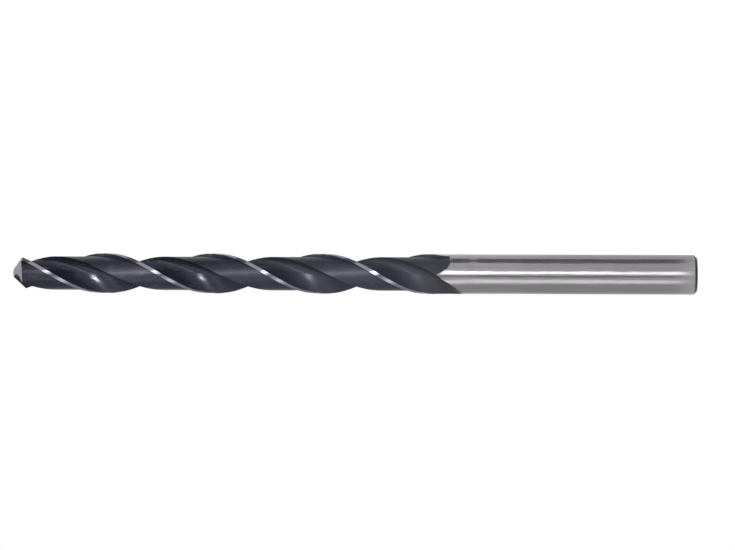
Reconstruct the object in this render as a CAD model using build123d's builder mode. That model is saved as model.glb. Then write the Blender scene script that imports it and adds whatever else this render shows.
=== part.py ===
from build123d import *
from math import asin, atan2, cos, degrees, hypot, pi, radians, sin, sqrt, tan
import os

os.makedirs("parts", exist_ok=True)

# Twist drill bit, straight shank, two flutes, right-hand cutting.
# It stands on the flat end of its shank: origin at the centre of that end,
# +Z along the axis to the point. All lengths in mm, all angles in degrees.

# whole bit
drill_dia = 12.0
drill_length = 205.0
flute_length = 135.0  # from the point to where the flutes have run out
helix_angle = 30.0

# shank
shank_dia = 11.92  # ground a touch under the cutting diameter
shank_blend = 4.0  # length over which the shank grows to the cutting diameter
end_chamfer_long = 0.8
end_chamfer_deep = 1.0

# point
point_angle = 118.0
web_at_point = 2.0
flank_apex_offset = 2.0  # grinding cone's apex past the axis, gives a chisel edge at about 55
flank_tilt = 6.0  # relief of the flank behind the lip

# cross-section
web_taper = 0.016  # growth of the web per mm towards the shank
land_angle = 88.0  # from heel to leading edge
margin_width = 1.0  # across the margin, square to the helix
clearance_depth = 0.97  # land below the margin
heel_flare = 8.0  # flute wall leans back above the heel

# run-out of flutes and land clearance
flute_wheel_radius = 16.0
land_wheel_radius = 15.0
land_runout_gap = 3.4  # land clearance ends this far before the flutes do
land_runout_flare = 12.0  # there its margin side has spread by this angle
land_runout_slant = 3.4  # there its heel side ends this much sooner than its margin side

# values that follow
radius = drill_dia / 2
half_point = point_angle / 2
lead = pi * drill_dia / tan(radians(helix_angle))
turn_per_mm = 360 / lead
half_web = web_at_point / 2
flute_end = drill_length - flute_length
overcut = radius / 4
shank_radius = shank_dia / 2
blend_end = flute_end - overcut
cutter_top = drill_length + overcut

# the lip lies half a web ahead of the axis; it is a line of the flank cone and passes through
# its apex, so the apex is found as the height at which the tilted cone meets the axis at the point
lip_slope = 1 / tan(radians(half_point))
cone_across = sin(radians(half_point)) * cos(radians(half_point)) * (1 - cos(radians(flank_tilt)))
cone_back = sin(radians(half_point)) * sin(radians(flank_tilt))
cone_up = cos(radians(flank_tilt)) + cos(radians(half_point)) ** 2 * (1 - cos(radians(flank_tilt)))
lean = flank_apex_offset * cone_across - half_web * cone_back
spread = cone_up**2 - cos(radians(half_point)) ** 2
reach = cos(radians(half_point)) * hypot(flank_apex_offset, half_web)
apex_rise = (sqrt((lean * cone_up) ** 2 - spread * (lean**2 - reach**2)) - lean * cone_up) / spread
apex_height = drill_length + apex_rise
lip_height = apex_height - flank_apex_offset * lip_slope

# the leading edge of the section that keeps the lip straight on a 118 degree point
lip_run = sqrt(radius**2 - half_web**2)
lead_edge = degrees(asin(half_web / radius)) + lip_run * lip_slope * turn_per_mm
heel_edge = lead_edge + 180 - land_angle
margin_angle = degrees(margin_width / cos(radians(helix_angle)) / radius)
margin_back = lead_edge - margin_angle
past_heel = heel_edge - 180 - (180 - land_angle) / 4
land_radius = radius - clearance_depth


def polar(distance, angle):
    return Vector(distance * cos(radians(angle)), distance * sin(radians(angle)))


def section_plane(height, side):
    turned = (height - lip_height) * turn_per_mm + side
    return Plane((0, 0, height)).rotated((0, 0, turned))


# height of a wheel's rim after some travel from its lowest point, straight on once it is steep
def wheel_rise(wheel_radius, travel):
    reach = min(max(travel, 0), wheel_radius * 2 / 3)
    drop = sqrt(wheel_radius**2 - reach**2)
    return wheel_radius - drop + (max(travel, 0) - reach) * reach / drop


def wheel_travel(wheel_radius, rise):
    return sqrt(2 * wheel_radius * rise - rise**2)


def even_steps(low, high, step):
    count = max(2, round((high - low) / step))
    return [low + (high - low) * i / count for i in range(count + 1)]


# arc that leaves the web square to the radius, passes through a target and runs on past it
def face_arc(root, target, past):
    across = target.X - root.X
    up = target.Y - root.Y
    arc_radius = (across**2 + up**2) / (2 * up)
    sweep_angle = degrees(2 * atan2(up, across if across > 0 else -across)) * past
    if across < 0:
        sweep_angle = -sweep_angle
    return CenterArc(root + Vector(0, arc_radius), arc_radius, -90, sweep_angle)


# flute: lip face and heel face meet smoothly on the web
def flute_section(web, lift):
    root = Vector(0, web / 2 + lift)
    shift = Vector(0, lift)
    with BuildLine() as outline:
        lip_face = face_arc(root, polar(radius, lead_edge) + shift, 1.15)
        heel_face = face_arc(root, polar(land_radius, heel_edge) + shift, 1.1)
        heel_exit = Line(heel_face @ 1, polar(radius + overcut, heel_edge + heel_flare) + shift)
        crown = polar(radius + 2 * overcut, (lead_edge + heel_edge) / 2) + shift
        ThreePointArc(lip_face @ 1, crown, heel_exit @ 1)
    make_face(outline.edges())


# land clearance, from the back of the margin past the heel into the open flute; its floor is
# deeper than the land, which is then left as a true cylinder, and rises where the wheel lifts out
def land_section(margin_lift, middle_lift, end_lift, flare):
    start = margin_back + flare
    end = past_heel
    middle = (margin_back + past_heel) / 2
    deep = land_radius - overcut / 4
    rim = radius + overcut + end_lift
    with BuildLine() as outline:
        floor = ThreePointArc(
            polar(deep + margin_lift, start),
            polar(deep + middle_lift, middle),
            polar(deep + end_lift, end),
        )
        heel_side = Line(floor @ 1, polar(rim, end))
        top = ThreePointArc(heel_side @ 1, polar(rim, middle), polar(rim, start))
        Line(top @ 1, floor @ 0)
    make_face(outline.edges())


# where each cut leaves the blank
flute_rise = radius - (web_at_point + web_taper * flute_length) / 2
flute_full = flute_end + wheel_travel(flute_wheel_radius, flute_rise)
land_travel = wheel_travel(land_wheel_radius, clearance_depth + overcut / 4)
past_share = (margin_back - past_heel) / (margin_back - heel_edge + 180)
margin_end = flute_end + land_runout_gap
margin_full = margin_end + land_travel
middle_full = margin_full + land_runout_slant * (past_share / 2) ** 2
end_full = margin_full + land_runout_slant * past_share**2

with BuildPart() as drill_bit:
    # round blank with the chamfered shank end
    with BuildSketch(Plane.XZ):
        with BuildLine():
            Polyline(
                (0, 0),
                (shank_radius - end_chamfer_deep, 0),
                (shank_radius, end_chamfer_long),
                (shank_radius, blend_end - shank_blend),
                (radius, blend_end),
                (radius, drill_length),
                (0, drill_length),
                close=True,
            )
        make_face()
    revolve(axis=Axis.Z)

    # point: two flanks, each part of a cone that has the lip as one of its lines
    for side in (0, 180):
        apex = Vector(-flank_apex_offset, half_web, apex_height).rotate(Axis.Z, side)
        lip_line = Vector(sin(radians(half_point)), 0, -cos(radians(half_point)))
        with Locations(Location(apex, lip_line.rotate(Axis.Z, side), flank_tilt)):
            Cone(
                2 * drill_length * tan(radians(half_point)),
                0,
                2 * drill_length,
                align=(Align.CENTER, Align.CENTER, Align.MAX),
                mode=Mode.INTERSECT,
            )

    # flutes
    runout = even_steps(flute_end - overcut, flute_full, radius / 2)
    full_depth = even_steps(flute_full, cutter_top, lead / 12)
    for side in (0, 180):
        for height in runout + full_depth[1:]:
            web = web_at_point + web_taper * (drill_length - height)
            lift = wheel_rise(flute_wheel_radius, flute_full - height)
            with BuildSketch(section_plane(height, side)):
                flute_section(web, lift)
        loft(mode=Mode.SUBTRACT)

    # land clearance
    runout = even_steps(margin_end - overcut, end_full, radius / 3)
    full_depth = even_steps(end_full, cutter_top, lead / 12)
    for side in (0, 180):
        with BuildPart(mode=Mode.PRIVATE) as clearance:
            for height in runout + full_depth[1:]:
                margin_lift = wheel_rise(land_wheel_radius, margin_full - height)
                middle_lift = wheel_rise(land_wheel_radius, middle_full - height)
                end_lift = wheel_rise(land_wheel_radius, end_full - height)
                flare = land_runout_flare * margin_lift / (clearance_depth + overcut / 4)
                with BuildSketch(section_plane(height, side)):
                    land_section(margin_lift, middle_lift, end_lift, min(flare, land_runout_flare * 1.5))
            loft()
            Cylinder(
                land_radius,
                2 * drill_length,
                align=(Align.CENTER, Align.CENTER, Align.MIN),
                mode=Mode.SUBTRACT,
            )
        add(clearance.part, mode=Mode.SUBTRACT)

drill_bit.part.label = "drill_bit"
export_step(drill_bit.part, "parts/drill_bit.step")
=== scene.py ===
import bmesh
import bpy
from math import cos, pi, radians, sin
from mathutils import Matrix, Vector


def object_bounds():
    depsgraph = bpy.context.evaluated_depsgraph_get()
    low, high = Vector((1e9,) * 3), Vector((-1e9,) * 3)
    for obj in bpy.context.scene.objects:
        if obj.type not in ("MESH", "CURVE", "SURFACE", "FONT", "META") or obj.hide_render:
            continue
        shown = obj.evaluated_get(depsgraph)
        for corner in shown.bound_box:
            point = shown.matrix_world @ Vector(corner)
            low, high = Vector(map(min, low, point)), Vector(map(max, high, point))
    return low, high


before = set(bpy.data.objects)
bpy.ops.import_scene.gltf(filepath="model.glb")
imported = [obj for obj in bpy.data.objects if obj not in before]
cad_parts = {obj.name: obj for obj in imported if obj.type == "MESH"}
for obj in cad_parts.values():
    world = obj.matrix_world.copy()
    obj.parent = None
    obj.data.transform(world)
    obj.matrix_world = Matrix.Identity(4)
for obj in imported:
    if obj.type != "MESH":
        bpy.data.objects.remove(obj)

bpy.context.view_layer.update()
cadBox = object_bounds()
print("frame loaded:", sorted(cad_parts))


def hexColour(code):
    # sRGB hex to the linear colour that the shader sockets take
    parts = [int(code[i:i + 2], 16) / 255 for i in (1, 3, 5)]
    return tuple(c / 12.92 if c <= 0.04045 else ((c + 0.055) / 1.055) ** 2.4 for c in parts) + (1.0,)


def addNode(tree, kind, links=None, **settings):
    # one node with its settings; links maps an input to a socket or a fixed value
    node = tree.nodes.new(kind)
    for name, value in settings.items():
        setattr(node, name, value)
    for key, value in (links or {}).items():
        if isinstance(value, bpy.types.NodeSocket):
            tree.links.new(value, node.inputs[key])
        else:
            node.inputs[key].default_value = value
    return node


def newMaterial(name):
    material = bpy.data.materials.new(name)
    material.use_nodes = True
    material.node_tree.nodes.clear()
    return material, material.node_tree


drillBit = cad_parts["drill_bit"]
bitRadius, bitTip = cadBox[1][0], cadBox[1][2]
fluteFoot = bitTip - 0.135                # at this height the flutes have run out

# heights are metres from the end of the shank, and radii metres from the axis
bitFinish = {
    "groundSteel": "#A09C9F",             # the shank, fresh from the wheel
    "groundSteelDull": "#989599",         # the same where handling has dulled it
    "marginSteel": "#8A8B98",             # the margins, bluer and darker
    "pointSteel": "#85848B",              # the two flanks of the point
    "blackOxide": "#141421",              # the steam-blued flutes and lands
    "blackOxideDeep": "#0D0D18",          # the same in its darker blotches
    "oxideGreyerToShank": "#30323E",               # greyer towards the shank
    "oxidePaintedSheen": "#484C51",               # painted sheen: a lighter grey where the flutes run out, in place of the broad glow they catch there
    "oxideScuffAndPaintedSheen": "#3A3B47",                # scuffs from chips and fingers, with a painted highlight where they lie on the lands
    "oxideSheen": "#EEF0FA",              # the bluish reflection of the oxide film
    "oxideGloss": 0.35,                   # and how strong that is
    "streakStrength": 0.8,                # of the three bumps, with their depths in metres
    "streakDepth": 0.000035,
    "grindStrength": 0.4,
    "grindDepth": 0.000001,
    "scuffStrength": 0.4,
    "scuffDepth": 0.000006,
    # how many millimetres one mark takes up across the bit and along it, and its fine detail
    "patterns": {
        "grindMark": (16.67, 0.22, 3.0),      # runs round the bit, coarser than real so that it shows
        "handling": (1.429, 16.67, 4.0),      # faint rubbing down the length
        "streak": (0.7692, 7.143, 3.0),       # the skin isn't quite even, so reflections waver
        "rubMark": (1.111, 2.381, 6.0),       # scuffs left by chips
        "blotch": (3.846, 3.846, 5.0),        # slow changes of tone and sheen
        "grain": (0.3846, 0.3846, 3.0),       # the matt tooth of the oxide
    },
    # what a mask reads, where it starts and ends, and what it gives at the two ends
    "masks": {
        # metal this far out has met the wheel
        "wheelReach": ("radius", bitRadius - 0.00015, bitRadius - 0.00009, 0.0, 1.0),
        "pastBevel": ("height", 0.00072, 0.00080, 0.0, 1.0),      # the bevel at the end stays blued
        "onPoint": ("height", bitTip - 0.0043, bitTip - 0.0041, 0.0, 1.0),      # the whole of the point
        "facesUp": ("facingUp", 0.66, 0.76, 0.0, 1.0),            # its flanks, and not the flutes there
        "onMargin": ("height", fluteFoot + 0.006, fluteFoot + 0.010, 0.0, 1.0),
        "onLand": ("radius", 0.0044, 0.0050, 0.0, 1.0),
        "bright": ("handling", 0.35, 0.68, 0.0, 1.0),
        "pale": ("blotch", 0.35, 0.65, 0.0, 1.0),
        # the oxide turns greyer towards the shank
        "greyerToShank": ("height", fluteFoot, bitTip - 0.020, 0.85, 0.10),
        # painted sheen where the flutes run out
        "paintedSheenAtRunOut": ("height", fluteFoot + 0.008, fluteFoot + 0.024, 0.35, 0.0),
        "rub": ("rubMark", 0.52, 0.72, 0.0, 0.5),
        "scuffAndSheenOnLands": ("radius", 0.0044, 0.0050, 0.5, 1.0),          # more on the lands, where it is also a painted highlight
        "steelRoughness": ("blotch", 0.30, 0.70, 0.17, 0.13),
        "fluteRoughness": ("height", fluteFoot, bitTip - 0.040, 0.46, 0.25),
        "landRoughness": ("height", fluteFoot + 0.010, bitTip - 0.045, 0.46, 0.36),
    },
}


def toolSteelMaterial():
    # high speed steel, steam blued and then ground to size: a smooth blue-black skin in the flutes
    # and on the lands, and satin metal with long crisp reflections where the wheel has been
    look = bitFinish
    material, tree = newMaterial("groundAndBluedToolSteel")
    place = addNode(tree, "ShaderNodeTexCoord").outputs
    # the place without its height, so that its length is the distance from the axis
    flat = addNode(tree, "ShaderNodeVectorMath", {0: place["Object"], 1: (1, 1, 0)},
                   operation="MULTIPLY").outputs[0]
    readings = {
        "radius": addNode(tree, "ShaderNodeVectorMath", {0: flat}, operation="LENGTH").outputs["Value"],
        "height": addNode(tree, "ShaderNodeSeparateXYZ", {0: place["Object"]}).outputs[2],
        "facingUp": addNode(tree, "ShaderNodeSeparateXYZ", {0: place["Normal"]}).outputs[2],
    }
    for name, (across, along, detail) in look["patterns"].items():
        perMetre = (1000 / across, 1000 / across, 1000 / along)
        stretched = addNode(tree, "ShaderNodeMapping", {0: place["Object"], 3: perMetre}).outputs[0]
        readings[name] = addNode(tree, "ShaderNodeTexNoise",
                                 {"Vector": stretched, "Scale": 1.0, "Detail": detail}).outputs[0]

    masks = {}
    for name, (reading, start, end, atStart, atEnd) in look["masks"].items():
        masks[name] = addNode(tree, "ShaderNodeMapRange",
                              {0: readings[reading], 1: start, 2: end, 3: atStart, 4: atEnd},
                              interpolation_type="SMOOTHSTEP").outputs[0]
    for name, operation, first, second in (
            ("outside", "MULTIPLY", "wheelReach", "pastBevel"),
            ("pointFlank", "MULTIPLY", "onPoint", "facesUp"),
            ("ground", "MAXIMUM", "outside", "pointFlank"),
            # scuff marks, with a painted highlight on the lands
            ("scuffAndPaintedSheen", "MULTIPLY", "rub", "scuffAndSheenOnLands")):
        masks[name] = addNode(tree, "ShaderNodeMath", {0: masks[first], 1: masks[second]},
                              operation=operation).outputs[0]

    # each colour lies over the one before it as far as its mask says
    colours = {"steel": hexColour(look["groundSteelDull"]), "oxide": hexColour(look["blackOxideDeep"])}
    for skin, mask, layer in (
            ("steel", "bright", "groundSteel"),
            ("steel", "onMargin", "marginSteel"),
            ("steel", "pointFlank", "pointSteel"),
            ("oxide", "pale", "blackOxide"),
            ("oxide", "greyerToShank", "oxideGreyerToShank"),
            # painted sheen where the flutes run out
            ("oxide", "paintedSheenAtRunOut", "oxidePaintedSheen"),
            # scuffs, and a painted highlight on the lands
            ("oxide", "scuffAndPaintedSheen", "oxideScuffAndPaintedSheen")):
        colours[skin] = addNode(tree, "ShaderNodeMix",
                                {0: masks[mask], 6: colours[skin], 7: hexColour(look[layer])},
                                data_type="RGBA").outputs[2]

    streakBump = addNode(tree, "ShaderNodeBump",
                         {"Strength": look["streakStrength"], "Distance": look["streakDepth"],
                          "Height": readings["streak"]}).outputs[0]
    grindBump = addNode(tree, "ShaderNodeBump",
                        {"Strength": look["grindStrength"], "Distance": look["grindDepth"],
                         "Height": readings["grindMark"], "Normal": streakBump}).outputs[0]
    scuffs = addNode(tree, "ShaderNodeMath", {0: readings["grain"], 1: readings["rubMark"]},
                     operation="ADD").outputs[0]
    scuffBump = addNode(tree, "ShaderNodeBump",
                        {"Strength": look["scuffStrength"], "Distance": look["scuffDepth"],
                         "Height": scuffs}).outputs[0]
    oxideRoughness = addNode(tree, "ShaderNodeMix",
                             {0: masks["onLand"], 2: masks["fluteRoughness"],
                              3: masks["landRoughness"]}).outputs[0]

    steel = addNode(tree, "ShaderNodeBsdfPrincipled",
                    {"Base Color": colours["steel"], "Metallic": 1.0,
                     "Roughness": masks["steelRoughness"], "Normal": grindBump})
    oxide = addNode(tree, "ShaderNodeBsdfPrincipled",
                    {"Base Color": colours["oxide"], "Metallic": 0.0,
                     "Roughness": oxideRoughness, "Normal": scuffBump,
                     "Specular IOR Level": look["oxideGloss"],
                     "Specular Tint": hexColour(look["oxideSheen"])})
    both = addNode(tree, "ShaderNodeMixShader",
                   {0: masks["ground"], 1: oxide.outputs[0], 2: steel.outputs[0]}).outputs[0]
    addNode(tree, "ShaderNodeOutputMaterial", {0: both})
    return material


drillBit.material_slots[0].link = "OBJECT"
drillBit.material_slots[0].material = toolSteelMaterial()
print("bit finished")


view = {
    "azimuth": -42.0,         # degrees round the bit at which the camera stands
    "distance": 0.860,
    "height": 0.09821,        # the place on the bit's axis that it looks at
    "shift": -0.00033,        # its own small move towards the picture's top
    "yaw": 2.4,               # the point of the bit is a little further away than the shank
    "roll": 0.166,
    "lens": 140.569,          # millimetres, like the sensor
    "sensor": 36,
    "nearest": 0.01,          # what is nearer than this isn't drawn
}


def sideways(azimuth):
    return Vector((cos(radians(azimuth)), sin(radians(azimuth)), 0))


def addCamera():
    # turned on its side, so that the upright bit lies across the picture with its point at the left
    pictureUp = sideways(view["azimuth"] + 90)
    towardsCamera = sideways(view["azimuth"])
    pictureRight = Vector((0, 0, -1))
    yaw, roll = radians(view["yaw"]), radians(view["roll"])
    back = towardsCamera * cos(yaw) + pictureRight * sin(yaw)
    right = pictureRight * cos(yaw) - towardsCamera * sin(yaw)
    rightTurned = right * cos(roll) + pictureUp * sin(roll)
    upTurned = pictureUp * cos(roll) - right * sin(roll)
    stand = Vector((0, 0, view["height"])) + back * view["distance"] + upTurned * view["shift"]
    turned = Matrix((rightTurned, upTurned, back)).transposed().to_4x4()
    camera = bpy.data.objects.new("camera", bpy.data.cameras.new("camera"))
    camera.data.sensor_width = view["sensor"]
    camera.data.lens = view["lens"]
    camera.data.clip_start = view["nearest"]
    camera.matrix_world = Matrix.Translation(stand) @ turned
    bpy.context.scene.collection.objects.link(camera)
    bpy.context.scene.camera = camera


addCamera()
print("camera placed")


studio = {
    "floorColour": "#F4F4F4",
    "floorSize": 8.0,            # wide enough to fill the picture from any side
    "floorDrop": 0.0002,         # the paper lies this far under the bit
    "floorLift": 0.74,           # glow of the paper for the lens, which burns it out to white
    "floorLiftInMetal": 0.46,    # the same where it shows in the bit
    "worldLight": 0.35,          # what the white room sheds on the bit
    "boardHeight": 0.5,          # the softboxes and cards stand this tall on the floor
    "spotSize": 0.02,            # radius of a spotlight's lamp
    "spotSoftness": 0.5,         # share of a spotlight's cone over which it fades out
}


def seenByEye(tree):
    # 1 for the camera and for what shows in metal or glass, 0 for the light shed on things
    ray = addNode(tree, "ShaderNodeLightPath").outputs
    shiny = addNode(tree, "ShaderNodeMath", {0: ray["Is Glossy Ray"], 1: ray["Is Transmission Ray"]},
                    operation="MAXIMUM").outputs[0]
    return addNode(tree, "ShaderNodeMath", {0: ray["Is Camera Ray"], 1: shiny},
                   operation="MAXIMUM").outputs[0]


def addGrid(name, width, height, place):
    mesh = bpy.data.meshes.new(name)
    grid = bmesh.new()
    bmesh.ops.create_grid(grid, x_segments=1, y_segments=1, size=0.5)      # one metre square
    bmesh.ops.scale(grid, vec=(width, height, 1), verts=grid.verts)
    bmesh.ops.transform(grid, matrix=place, verts=grid.verts)
    grid.to_mesh(mesh)
    grid.free()
    plane = bpy.data.objects.new(name, mesh)
    bpy.context.scene.collection.objects.link(plane)
    return plane


def addFloor():
    floor = addGrid("floor", studio["floorSize"], studio["floorSize"],
                    Matrix.Translation((0, 0, -studio["floorDrop"])))
    # matt paper from a roll: it has no shine, and no more than a faint shadow lies on it
    material, tree = newMaterial("paleStudioPaper")
    paper = addNode(tree, "ShaderNodeBsdfDiffuse", {0: hexColour(studio["floorColour"])}).outputs[0]
    byLens = addNode(tree, "ShaderNodeLightPath").outputs["Is Camera Ray"]
    lift = addNode(tree, "ShaderNodeMapRange",
                   {0: byLens, 3: studio["floorLiftInMetal"], 4: studio["floorLift"]}).outputs[0]
    seenLift = addNode(tree, "ShaderNodeMath", {0: seenByEye(tree), 1: lift},
                       operation="MULTIPLY").outputs[0]
    glow = addNode(tree, "ShaderNodeEmission", {0: (1, 1, 1, 1), 1: seenLift}).outputs[0]
    both = addNode(tree, "ShaderNodeAddShader", {0: paper, 1: glow}).outputs[0]
    addNode(tree, "ShaderNodeOutputMaterial", {0: both})
    floor.data.materials.append(material)


def addWorld():
    world = bpy.data.worlds.new("studio")
    bpy.context.scene.world = world
    world.use_nodes = True
    tree = world.node_tree
    tree.nodes.clear()
    strength = addNode(tree, "ShaderNodeMapRange",
                       {0: seenByEye(tree), 3: studio["worldLight"]}).outputs[0]
    glow = addNode(tree, "ShaderNodeBackground", {0: (1, 1, 1, 1), 1: strength}).outputs[0]
    addNode(tree, "ShaderNodeOutputWorld", {0: glow})


addFloor()
addWorld()
print("floor and room made")


def boardPlace(turn, distance):
    # a board that stands on the floor, square to the bit's axis; turn is degrees round the bit
    # from the camera towards the picture's top
    outward = sideways(view["azimuth"] + turn)
    upward = Vector((0, 0, 1))
    facing = Matrix((upward.cross(outward), upward, outward)).transposed().to_4x4()
    return Matrix.Translation(outward * distance + upward * studio["boardHeight"] / 2) @ facing


softboxes = {
    "stripSoftbox": {"turn": 8, "distance": 0.06, "width": 0.0154, "brightness": 2.5},
    "lowerSoftbox": {"turn": -40, "distance": 0.08, "width": 0.0270, "brightness": 0.90},
}


def addSoftbox(name, turn, distance, width, brightness):
    lamp = bpy.data.lights.new(name, "AREA")
    lamp.shape = "RECTANGLE"
    lamp.size = width
    lamp.size_y = studio["boardHeight"]
    lamp.energy = brightness * pi * lamp.size * lamp.size_y
    softbox = bpy.data.objects.new(name, lamp)
    softbox.matrix_world = boardPlace(turn, distance)
    softbox.visible_camera = False
    bpy.context.scene.collection.objects.link(softbox)


# level is the lamp's height, and aim the height on the bit's axis that it points at; cone is in degrees
spots = {
    "fluteSpot": {"turn": 6, "distance": 0.7, "level": 0.035, "aim": 0.130, "cone": 9.0, "power": 12.0},
    "pinSpot": {"turn": 5, "distance": 0.7, "level": 0.049, "aim": 0.1797, "cone": 1.35, "power": 165.0},
}


def addSpot(name, turn, distance, level, aim, cone, power):
    # puts a sheen into the flutes without lighting the shank
    lamp = bpy.data.lights.new(name, "SPOT")
    lamp.energy = power
    lamp.shadow_soft_size = studio["spotSize"]
    lamp.spot_size = radians(cone)
    lamp.spot_blend = studio["spotSoftness"]
    spot = bpy.data.objects.new(name, lamp)
    spot.location = sideways(view["azimuth"] + turn) * distance + Vector((0, 0, level))
    towardsBit = Vector((0, 0, aim)) - spot.location
    spot.rotation_euler = towardsBit.to_track_quat("-Z", "Y").to_euler()
    spot.visible_camera = False
    bpy.context.scene.collection.objects.link(spot)


cards = {
    "upperCard": {"turn": 81, "distance": 0.06, "width": 0.0362, "shade": 0.25},
    "lensCard": {"turn": -12, "distance": 0.085, "width": 0.0165, "shade": 0.42},
    "lowerCard": {"turn": -95.5, "distance": 0.075, "width": 0.1126, "shade": 0.62},
}


def addCard(name, turn, distance, width, shade):
    # a card shows only in the bit's reflections
    card = addGrid(name, width, studio["boardHeight"], boardPlace(turn, distance))
    material, tree = newMaterial("greyBoard")      # matt board, so evenly lit that it is one flat grey
    board = addNode(tree, "ShaderNodeEmission", {0: (shade, shade, shade, 1), 1: 1.0}).outputs[0]
    addNode(tree, "ShaderNodeOutputMaterial", {0: board})
    card.data.materials.append(material)
    card.visible_camera = False
    card.visible_diffuse = False
    card.visible_shadow = False


for addOne, places in ((addSoftbox, softboxes), (addSpot, spots), (addCard, cards)):
    for name, values in places.items():
        addOne(name, **values)
print("lamps and cards set up")

bpy.context.scene.view_settings.view_transform = "Standard"
bpy.context.view_layer.update()
